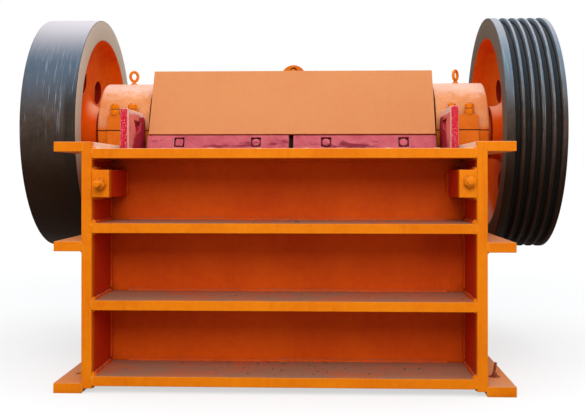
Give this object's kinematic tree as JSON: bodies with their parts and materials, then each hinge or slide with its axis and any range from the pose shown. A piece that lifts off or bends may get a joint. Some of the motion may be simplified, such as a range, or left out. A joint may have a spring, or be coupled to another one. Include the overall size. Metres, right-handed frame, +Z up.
{
  "type": "jaw crusher",
  "caption": "Wide-mouth single-toggle jaw crusher: welded plate frame, swing jaw on an eccentric shaft, flywheel and grooved belt sheave.",
  "frame": {"origin": "centre of the four anchor holes, on the underside of the feet", "axes": "+X along the shaft to the right as seen from the feed side, +Y from the feed side to the rear, +Z up"},
  "size_m": [2.304, 1.766, 1.497],
  "materials": {
    "frame_paint": "glossy enamel with dust",
    "bearing_paint": "glossy enamel over castings",
    "cover_paint": "satin enamel on flat sheet",
    "jaw_red": "primer red on rough manganese castings",
    "wheel_iron": "turned rim, painted web",
    "shaft_steel": "machined",
    "spring_steel": "black"
  },
  "bodies": {
    "frame": {"bearing_base_left": "bearing_paint", "bearing_base_right": "bearing_paint", "bearing_cap_left": "bearing_paint", "bearing_cap_right": "bearing_paint", "block_bolts": "frame_paint", "bolt_block_left": "frame_paint", "bolt_block_right": "frame_paint", "cheek_plate_left": "jaw_red", "cheek_plate_right": "jaw_red", "eye_bolt_left": "bearing_paint", "eye_bolt_right": "bearing_paint", "fixed_jaw_plate_left": "jaw_red", "fixed_jaw_plate_right": "jaw_red", "foot_left": "frame_paint", "foot_right": "frame_paint", "front_rib_bottom": "frame_paint", "front_rib_lower": "frame_paint", "front_rib_top": "frame_paint", "front_rib_upper": "frame_paint", "front_wall": "frame_paint", "rear_rib_lower": "frame_paint", "rear_rib_upper": "frame_paint", "rear_wall": "frame_paint", "rod_spring_left": "spring_steel", "rod_spring_right": "spring_steel", "side_gussets_left": "frame_paint", "side_gussets_right": "frame_paint", "side_plate_left": "frame_paint", "side_plate_right": "frame_paint", "side_rib_left": "frame_paint", "side_rib_right": "frame_paint", "tension_rod_left": "shaft_steel", "tension_rod_right": "shaft_steel", "toggle_beam": "frame_paint", "toggle_plate": "frame_paint", "top_flange_left": "frame_paint", "top_flange_right": "frame_paint"},
    "rotor": {"eccentric_shaft": "shaft_steel", "flywheel": "wheel_iron", "sheave": "wheel_iron"},
    "pitman": {"swing_jaw": "bearing_paint", "jaw_cover": "cover_paint", "lifting_lug": "bearing_paint", "moving_jaw_plate_left": "jaw_red", "moving_jaw_plate_right": "jaw_red"}
  },
  "joints": [
    {"name": "shaft_spin", "type": "hinge", "parent": "frame", "child": "rotor", "pos_m": [0, 0.268, 0.974], "axis": [1, 0, 0], "continuous": true},
    {"name": "pitman_swing", "type": "hinge", "parent": "rotor", "child": "pitman", "pos_m": [0, 0.268, 0.962], "axis": [1, 0, 0], "continuous": true}
  ],
  "couplings": [
    {"joint": "pitman_swing", "follows": "shaft_spin", "ratio": -1}
  ]
}
